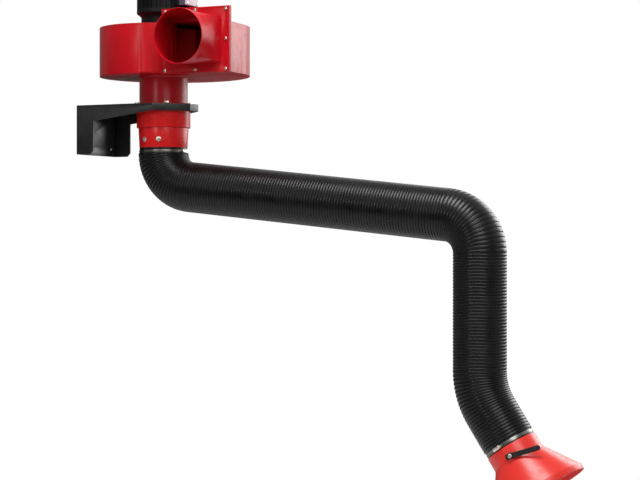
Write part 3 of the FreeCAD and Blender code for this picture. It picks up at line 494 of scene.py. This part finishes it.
# turned pieces: each point of an outline has a radius, a height and the rounding of its corner
turnedPieces = {
    "swivel_housing": {
        "frame": swivelFrame,
        "radii": {"lip": 0.0788, "bore": 0.0840, "body": 0.0905, "flange": 0.0970},
        "heights": {"foot": 0.0054, "lipTop": 0.0140, "flangeFoot": 0.0630, "top": 0.0770},
        "outline": (
            ("bore", "top", 0.0), ("flange", "top", 0.0008), ("flange", "flangeFoot", 0.0015),
            ("body", "flangeFoot", 0.0025), ("body", "foot", 0.0006), ("lip", "foot", 0.0),
            ("lip", "lipTop", 0.0), ("bore", "lipTop", 0.0),
        ),
    },
    "swivel_collar": {
        "frame": swivelFrame,
        "radii": {
            "bore": 0.0750, "throat": 0.0785, "spigot": 0.0788, "skirt": 0.0810, "rim": 0.0830, "cap": 0.0845,
        },
        "heights": {"end": -0.0800, "skirtEnd": -0.0620, "cap": 0.0050, "rimFoot": 0.0170, "top": 0.0210},
        "outline": (
            ("bore", "top", 0.0), ("rim", "top", 0.0), ("rim", "rimFoot", 0.0), ("throat", "rimFoot", 0.0),
            ("throat", "cap", 0.0), ("cap", "cap", 0.0008), ("skirt", "skirtEnd", 0.0012),
            ("spigot", "skirtEnd", 0.0), ("spigot", "end", 0.0), ("bore", "end", 0.0),
        ),
    },
    "inlet_spigot": {
        "frame": swivelFrame,
        "radii": {"bore": 0.0800, "duct": 0.0815, "weld": 0.0860, "flange": 0.0970},
        "heights": {
            "foot": 0.0830, "flangeTop": 0.0860, "weldFoot": 0.1755, "weldTop": 0.1779, "top": 0.1800,
        },
        "outline": (
            ("bore", "foot", 0.0), ("flange", "foot", 0.0006), ("flange", "flangeTop", 0.0008),
            ("duct", "flangeTop", 0.0025), ("duct", "weldFoot", 0.0060), ("weld", "weldTop", 0.0),
            ("duct", "weldTop", 0.0), ("duct", "top", 0.0), ("bore", "top", 0.0),
        ),
    },
    "motor_end_shield": {
        "frame": swivelFrame,
        "radii": {"shaft": 0.0130, "bearing": 0.0262, "neck": 0.0750, "foot": 0.0780, "flare": 0.0900},
        "heights": {
            "foot": 0.3420, "footTop": 0.3500, "flareFoot": 0.3780, "flareTop": 0.3890, "seat": 0.3900,
            "top": 0.4020,
        },
        "outline": (
            ("shaft", "foot", 0.0), ("foot", "foot", 0.0006), ("foot", "footTop", 0.0020),
            ("neck", "footTop", 0.0020), ("neck", "flareFoot", 0.0050), ("flare", "flareTop", 0.0018),
            ("flare", "top", 0.0), ("bearing", "top", 0.0), ("bearing", "seat", 0.0), ("shaft", "seat", 0.0),
        ),
    },
    "hood_shell": {
        "frame": hoodFrame,
        "radii": {
            "bore": 0.0773, "spigot": 0.0788, "neckInside": 0.0820, "neck": 0.0835, "lipInside": 0.1533,
            "crease": 0.1545, "lip": 0.1570,
        },
        "heights": {
            "start": 0.1050, "neck": 0.1930, "neckInside": 0.1945, "cone": 0.2390, "coneInside": 0.2394,
            "crease": 0.3440, "creaseInside": 0.3448, "lip": 0.3454, "mouth": 0.3640,
        },
        "outline": (
            ("bore", "start", 0.0), ("spigot", "start", 0.0), ("spigot", "neck", 0.0),
            ("neck", "neck", 0.0010), ("neck", "cone", 0.0050), ("crease", "crease", 0.0008),
            ("crease", "lip", 0.0), ("lip", "lip", 0.0007), ("lip", "mouth", 0.0016),
            ("lipInside", "mouth", 0.0012), ("lipInside", "creaseInside", 0.0030),
            ("neckInside", "coneInside", 0.0045), ("neckInside", "neckInside", 0.0),
            ("bore", "neckInside", 0.0),
        ),
    },
}
turning = {"sides": 128, "steps": 4}


def spunShell(outline):
    bm = bmesh.new()
    corners = [bm.verts.new((radius, 0.0, height)) for radius, height, rounding in outline]
    for pair in zip(corners, corners[1:] + corners[:1]):
        bm.edges.new(pair)
    for corner, (radius, height, rounding) in zip(corners, outline):
        if rounding:
            bmesh.ops.bevel(
                bm, geom=[corner], offset=rounding, segments=turning["steps"], profile=0.5,
                affect="VERTICES", material=-1,
            )
    bmesh.ops.spin(
        bm, geom=bm.verts[:] + bm.edges[:], cent=(0, 0, 0), axis=(0, 0, 1), angle=2 * math.pi,
        steps=turning["sides"], use_merge=True, use_duplicate=False,
    )
    bmesh.ops.recalc_face_normals(bm, faces=bm.faces)
    return bm


def turnedPiece(node, setup):
    radii, heights = setup["radii"], setup["heights"]
    bm = spunShell([(radii[across], heights[up], rounding) for across, up, rounding in setup["outline"]])
    bmesh.ops.transform(bm, matrix=setup["frame"], verts=bm.verts)
    standIn(node + "Turned", bm, node)


# gasket between the outlet flanges, cut to the opening of the outer one
gasketSetup = {"margin": 0.0320, "facing": 0.5}


def flangeGasket():
    low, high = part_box("outlet_gasket")
    bm = bmesh.new()
    size = high - low
    place = Matrix.Translation((low + high) / 2) @ Matrix.Diagonal((*size, 1))
    bmesh.ops.create_cube(bm, size=1.0, matrix=place)
    sheets = [face for face in bm.faces if abs(face.normal.y) > gasketSetup["facing"]]
    bmesh.ops.inset_individual(bm, faces=sheets, thickness=gasketSetup["margin"], use_even_offset=True)
    rims = [edge for face in sheets for edge in face.edges]
    bmesh.ops.delete(bm, geom=sheets, context="FACES_ONLY")
    bmesh.ops.bridge_loops(bm, edges=rims)
    bmesh.ops.recalc_face_normals(bm, faces=bm.faces)
    standIn("outletGasketFrame", bm, "outlet_gasket")


# worm-drive hose clamps
clampSetup = {
    "inner": 0.0807,
    "outer": 0.0819,
    "width": 0.0100,
    "edge": 0.0004,
    "slotFrom": 14.0,      # the band's thread slots run on from the screw housing
    "slotTo": 72.0,
    "slotInset": 0.0011,
    "slotDepth": 0.0004,
    "housing": (0.0078, 0.0260, 0.0120),
    "housingEdge": 0.0030,
    "housingSteps": 4,
    "screwSides": 6,
    "screwSteps": 2,
    "screwRadius": 0.0046,
    "screwHead": 0.0060,
    "screwRise": 0.0036,
}

clamps = {
    "shoulder_hose_clamp": {"frame": swivelFrame, "middle": -0.0745, "angle": 0.0},
    "hood_hose_clamp": {"frame": hoodFrame, "middle": 0.1840, "angle": -80.0},
}


def hoseClamp(node, setup):
    half = clampSetup["width"] / 2
    edge = clampSetup["edge"]
    inner, outer = clampSetup["inner"], clampSetup["outer"]
    bm = spunShell(((inner, -half, 0.0), (outer, -half, edge), (outer, half, edge), (inner, half, 0.0)))
    slots = []
    for face in bm.faces:
        middle = face.calc_center_median()
        around = math.degrees(math.atan2(middle.y, middle.x))
        onBand = abs(middle.z) < half / 2 and math.hypot(middle.x, middle.y) > (inner + outer) / 2
        if onBand and clampSetup["slotFrom"] < around < clampSetup["slotTo"]:
            slots.append(face)
    bmesh.ops.inset_individual(
        bm, faces=slots, thickness=clampSetup["slotInset"], depth=-clampSetup["slotDepth"],
        use_even_offset=True,
    )
    turn = Matrix.Rotation(math.radians(setup["angle"]), 4, "Z")
    stand = setup["frame"] @ Matrix.Translation((0, 0, setup["middle"])) @ turn
    bmesh.ops.transform(bm, matrix=stand, verts=bm.verts)
    standIn(node + "Band", bm, node)

    bm = bmesh.new()
    rise, length, width = clampSetup["housing"]
    place = Matrix.Translation((outer + rise / 2 - edge, 0, 0)) @ Matrix.Diagonal((rise, length, width, 1))
    made = bmesh.ops.create_cube(bm, size=1.0, matrix=place)["verts"]
    edges = {line for vert in made for line in vert.link_edges if min(end.co.x for end in line.verts) > outer}
    bmesh.ops.bevel(
        bm, geom=list(edges), offset=clampSetup["housingEdge"], segments=clampSetup["housingSteps"],
        profile=0.5, affect="EDGES", clamp_overlap=True, material=-1,
    )
    head = Matrix.Translation((outer + clampSetup["screwRise"], -length / 2 - clampSetup["screwHead"] / 2, 0))
    screw = bmesh.ops.create_cone(
        bm, cap_ends=True, segments=clampSetup["screwSides"], radius1=clampSetup["screwRadius"],
        radius2=clampSetup["screwRadius"], depth=clampSetup["screwHead"],
        matrix=head @ Matrix.Rotation(math.pi / 2, 4, "X"),
    )["verts"]
    rims = {line for vert in screw for line in vert.link_edges}
    bmesh.ops.bevel(
        bm, geom=list(rims), offset=edge * 2, segments=clampSetup["screwSteps"], profile=0.5,
        affect="EDGES", material=-1,
    )
    bmesh.ops.transform(bm, matrix=stand, verts=bm.verts)
    worm = madePiece(node + "Worm", bm, "flange_bolts")
    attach(worm, bodyOf[node])


# screws and bolts
headSetups = {
    "flangeBolt": {"sides": 6, "flats": 0.0130, "height": 0.0055, "washer": 0.0100, "edge": 0.0010},
    "collarScrew": {"sides": 6, "flats": 0.0130, "height": 0.0055, "washer": 0.0088, "edge": 0.0010},
    "outletBolt": {"sides": 6, "flats": 0.0100, "height": 0.0040, "washer": 0.0, "edge": 0.0008},
    "leverScrew": {"sides": 32, "flats": 0.0130, "height": 0.0045, "washer": 0.0, "edge": 0.0018},
    "lidScrew": {"sides": 24, "flats": 0.0070, "height": 0.0026, "washer": 0.0, "edge": 0.0010},
    "cowlScrew": {"sides": 24, "flats": 0.0080, "height": 0.0028, "washer": 0.0060, "edge": 0.0010},
}
headDetail = {
    "hexSides": 6,
    "steps": 3,
    "washerHeight": 0.0014,
    "washerSides": 32,
    "washerSteps": 2,
    "socket": 0.46,        # share of a round head's radius that its rim takes
    "socketDepth": 0.0018,
    "sink": 0.0004,
}


def headTemplate(setup):
    bm = bmesh.new()
    corner = setup["flats"] / 2 / math.cos(math.pi / setup["sides"])
    base = -headDetail["sink"]
    depth = setup["height"] - base
    made = bmesh.ops.create_cone(
        bm, cap_ends=True, segments=setup["sides"], radius1=corner, radius2=corner, depth=depth,
        matrix=Matrix.Translation((0, 0, base + depth / 2)),
    )["verts"]
    rim = {line for vert in made for line in vert.link_edges if min(end.co.z for end in line.verts) > 0}
    bmesh.ops.bevel(
        bm, geom=list(rim), offset=setup["edge"], segments=headDetail["steps"], profile=0.5,
        affect="EDGES", material=-1,
    )
    if setup["sides"] > headDetail["hexSides"]:        # round heads have a socket
        top = max(bm.faces, key=lambda face: face.calc_center_median().z)
        thickness = setup["flats"] / 2 * headDetail["socket"]
        bmesh.ops.inset_region(bm, faces=[top], thickness=thickness, use_even_offset=True)
        pit = bmesh.ops.extrude_face_region(bm, geom=[top])["geom"]
        bmesh.ops.delete(bm, geom=[top], context="FACES")
        sunk = [part for part in pit if isinstance(part, bmesh.types.BMVert)]
        deep = min(headDetail["socketDepth"], setup["height"] / 2)
        bmesh.ops.translate(bm, vec=(0, 0, -deep), verts=sunk)
    if setup["washer"]:
        thick = headDetail["washerHeight"]
        disc = bmesh.ops.create_cone(
            bm, cap_ends=True, segments=headDetail["washerSides"], radius1=setup["washer"],
            radius2=setup["washer"], depth=thick + headDetail["sink"],
            matrix=Matrix.Translation((0, 0, (thick - headDetail["sink"]) / 2)),
        )["verts"]
        lip = {line for vert in disc for line in vert.link_edges if min(end.co.z for end in line.verts) > 0}
        bmesh.ops.bevel(
            bm, geom=list(lip), offset=thick / 3, segments=headDetail["washerSteps"], profile=0.5,
            affect="EDGES", material=-1,
        )
    mesh = bpy.data.meshes.new("headTemplate")
    bm.to_mesh(mesh)
    bm.free()
    return mesh


def headsAt(setupName, places):
    template = headTemplate(headSetups[setupName])
    bm = bmesh.new()
    for place in places:
        count = len(bm.verts)
        bm.from_mesh(template)
        bm.verts.ensure_lookup_table()
        bmesh.ops.transform(bm, matrix=place, verts=bm.verts[count:])
    bpy.data.meshes.remove(template)
    return bm


def ringPlaces(frameMatrix, angles, radius, height, radial):
    places = []
    for angle in angles:
        turn = math.radians(angle)
        outward = Vector((math.cos(turn), math.sin(turn), 0))
        spot = frameMatrix @ Vector((radius * outward.x, radius * outward.y, height))
        places.append(facing(spot, outward if radial else Vector((0, 0, 1))))
    return places


def platePlaces(middle, across, up, outward, steps):
    side = outward.cross(Vector((0, 0, 1)))
    return [facing(middle + side * i * across / 2 + Vector((0, 0, j * up / 2)), outward) for i, j in steps]


fastenerSetup = {
    "flangeBoltRing": 0.0900,
    "flangeBoltSeat": 0.0860,
    "flangeBoltAngles": (36.0, 126.0, 216.0, 306.0),
    "collarScrewRing": 0.0822,
    "collarScrewHeight": -0.0350,
    "collarScrewAngles": (-109.0, -71.0, 71.0, 109.0),
    "outletSpacing": (0.2270, 0.1940),
    "outletSeat": -0.1620,
    "leverSeat": 0.0913,
    "lidInset": 0.0070,
    "cowlScrewRing": 0.0900,
    "cowlScrewHeight": 0.6000,
    "cowlScrewAngles": (45.0, 135.0, 225.0, 315.0),
}


def addFasteners():
    setup = fastenerSetup
    seat = setup["flangeBoltSeat"]
    flange = ringPlaces(swivelFrame, setup["flangeBoltAngles"], setup["flangeBoltRing"], seat, False)
    standIn("flangeBoltHeads", headsAt("flangeBolt", flange), "flange_bolts")
    level = setup["collarScrewHeight"]
    collar = ringPlaces(swivelFrame, setup["collarScrewAngles"], setup["collarScrewRing"], level, True)
    standIn("collarScrewHeads", headsAt("collarScrew", collar), "collar_screws")
    low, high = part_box("outlet_bolts")
    middle = Vector(((low.x + high.x) / 2, setup["outletSeat"], (low.z + high.z) / 2))
    steps = [(i, j) for i in (-1, 0, 1) for j in (-1, 0, 1) if i or j]
    outlet = platePlaces(middle, *setup["outletSpacing"], Vector((0, -1, 0)), steps)
    standIn("outletBoltHeads", headsAt("outletBolt", outlet), "outlet_bolts")
    axle = axles["damper_turn"]
    lever = facing(pivots["damper_turn"] + axle * setup["leverSeat"], axle)
    standIn("leverScrewHead", headsAt("leverScrew", [lever]), "lever_screw")
    low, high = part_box("terminal_box_lid")
    middle = Vector((high.x, (low.y + high.y) / 2, (low.z + high.z) / 2))
    corners = [(i, j) for i in (-1, 1) for j in (-1, 1)]
    across, up = high.y - low.y - 2 * setup["lidInset"], high.z - low.z - 2 * setup["lidInset"]
    lid = platePlaces(middle, across, up, Vector((1, 0, 0)), corners)
    ring, level = setup["cowlScrewRing"], setup["cowlScrewHeight"]
    cowl = ringPlaces(swivelFrame, setup["cowlScrewAngles"], ring, level, True)
    for name, kind, places in (("lidScrews", "lidScrew", lid), ("cowlScrews", "cowlScrew", cowl)):
        piece = madePiece(name, headsAt(kind, places), "outlet_bolts")
        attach(piece, "bracket_and_fan")


# ribbed hose, one bent piece around each joint of the arm
hose = {
    "sides": 72,
    "crest": 0.0842,
    "valley": 0.0820,
    "plain": 0.0805,      # radius of the smooth cuffs
    "bore": 0.0790,
    "pitch": 0.0100,
    "cuff": 0.0180,
    "sharpest": 80.0,     # ribs shade smooth up to this angle
    "ribPlaces": (0.00, 0.05, 0.10, 0.17, 0.46, 0.75, 0.82, 0.87, 0.92),
    "ribRises": (0.00, 0.48, 0.82, 0.97, 1.00, 0.97, 0.82, 0.48, 0.00),
}

hoseRuns = {
    "hoseShoulder": {
        "pivot": shoulder, "lineIn": downward, "lineOut": armLine, "lead": 0.122, "tangent": 0.104,
        "tail": 0.900, "cuffIn": hose["cuff"], "cuffOut": 0.0, "bodies": ("swivel", "upper_arm"),
        "bendFrom": -0.020, "bendTo": 0.070, "stands": ("hose_shoulder_bend", "hose_upper_run"),
    },
    "hoseElbow": {
        "pivot": elbow, "lineIn": armLine, "lineOut": downward, "lead": 0.252, "tangent": 0.108,
        "tail": 0.380, "cuffIn": 0.0, "cuffOut": 0.0, "bodies": ("upper_arm", "lower_arm"),
        "bendFrom": -0.115, "bendTo": 0.115, "stands": ("hose_elbow_bend", "hose_lower_run"),
    },
    "hoseWrist": {
        "pivot": wrist, "lineIn": downward, "lineOut": hoodLine, "lead": 0.163, "tangent": 0.070,
        "tail": 0.193, "cuffIn": 0.0, "cuffOut": hose["cuff"], "bodies": ("lower_arm", "hood"),
        "bendFrom": -0.100, "bendTo": 0.130, "stands": ("hose_wrist_bend", "hose_hood_end"),
    },
}


def bendLine(run):
    lineIn, lineOut, pivot, tangent = (run[key] for key in ("lineIn", "lineOut", "pivot", "tangent"))
    turn = lineIn.angle(lineOut)
    radius = tangent / math.tan(turn / 2)
    axle = lineIn.cross(lineOut).normalized()
    arcFrom = run["lead"] - tangent
    arcTo = arcFrom + radius * turn
    arcStart = pivot - lineIn * tangent
    centre = arcStart + axle.cross(lineIn) * radius
    length = arcTo + run["tail"] - tangent

    def station(along):
        swing = Matrix.Rotation(min(max(along - arcFrom, 0), arcTo - arcFrom) / radius, 3, axle)
        heading = swing @ lineIn
        point = centre + swing @ (arcStart - centre)
        point = point + heading * (min(along - arcFrom, 0) + max(along - arcTo, 0))
        return standing(point, axle.cross(heading), axle, heading)

    return station, length


def ribStations(run, length):
    ribbed = length - run["cuffIn"] - run["cuffOut"]
    count = round(ribbed / hose["pitch"])
    pitch = ribbed / count
    rise = hose["crest"] - hose["valley"]
    plain = hose["plain"]
    stations = [(0.0, hose["bore"]), (0.0, plain), (run["cuffIn"], plain)] if run["cuffIn"] else []
    for rib in range(count):
        for place, height in zip(hose["ribPlaces"], hose["ribRises"]):
            stations.append((run["cuffIn"] + (rib + place) * pitch, hose["valley"] + height * rise))
    stations.append((length - run["cuffOut"], hose["valley"]))
    if run["cuffOut"]:
        stations += [(length - run["cuffOut"], plain), (length, plain), (length, hose["bore"])]
    return stations


def ribbedHose(name, run):
    station, length = bendLine(run)
    places = [station(along) @ Matrix.Scale(radius, 4) for along, radius in ribStations(run, length)]
    bm = bmesh.new()
    bmesh.ops.create_circle(bm, segments=hose["sides"], radius=1.0)
    bmesh.ops.transform(bm, matrix=places[0], verts=bm.verts)
    ring = bm.edges[:]
    for last, place in zip(places, places[1:]):
        made = bmesh.ops.extrude_edge_only(bm, edges=ring)["geom"]
        rim = [part for part in made if isinstance(part, bmesh.types.BMVert)]
        ring = [part for part in made if isinstance(part, bmesh.types.BMEdge)]
        bmesh.ops.transform(bm, matrix=place @ last.inverted(), verts=rim)
    bmesh.ops.recalc_face_normals(bm, faces=bm.faces)
    piece = madePiece(name, bm, run["stands"][0], hose["sharpest"])
    middle = (run["lineIn"] + run["lineOut"]).normalized()
    bendFrom = run["pivot"] + middle * run["bendFrom"]
    bendTo = run["pivot"] + middle * run["bendTo"]
    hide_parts(*run["stands"])
    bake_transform(piece)
    print(name, "length", round(length, 4), "faces", len(piece.data.polygons))


setCamera()
setLamps()
setRoom()
setFloor()
dressNodes()
print("camera, lamps and floor in place")

for nodeName, edgeWidth in softEdges.items():
    softened(nodeName, edgeWidth)
print("soft edges:", len(softEdges))

for nodeName, pieceSetup in turnedPieces.items():
    turnedPiece(nodeName, pieceSetup)
for nodeName, pieceSetup in clamps.items():
    hoseClamp(nodeName, pieceSetup)
flangeGasket()
addFasteners()
print("turned pieces, clamps and fasteners in place")

for runName, runSetup in hoseRuns.items():
    ribbedHose(runName, runSetup)

scene.view_settings.view_transform = "Standard"
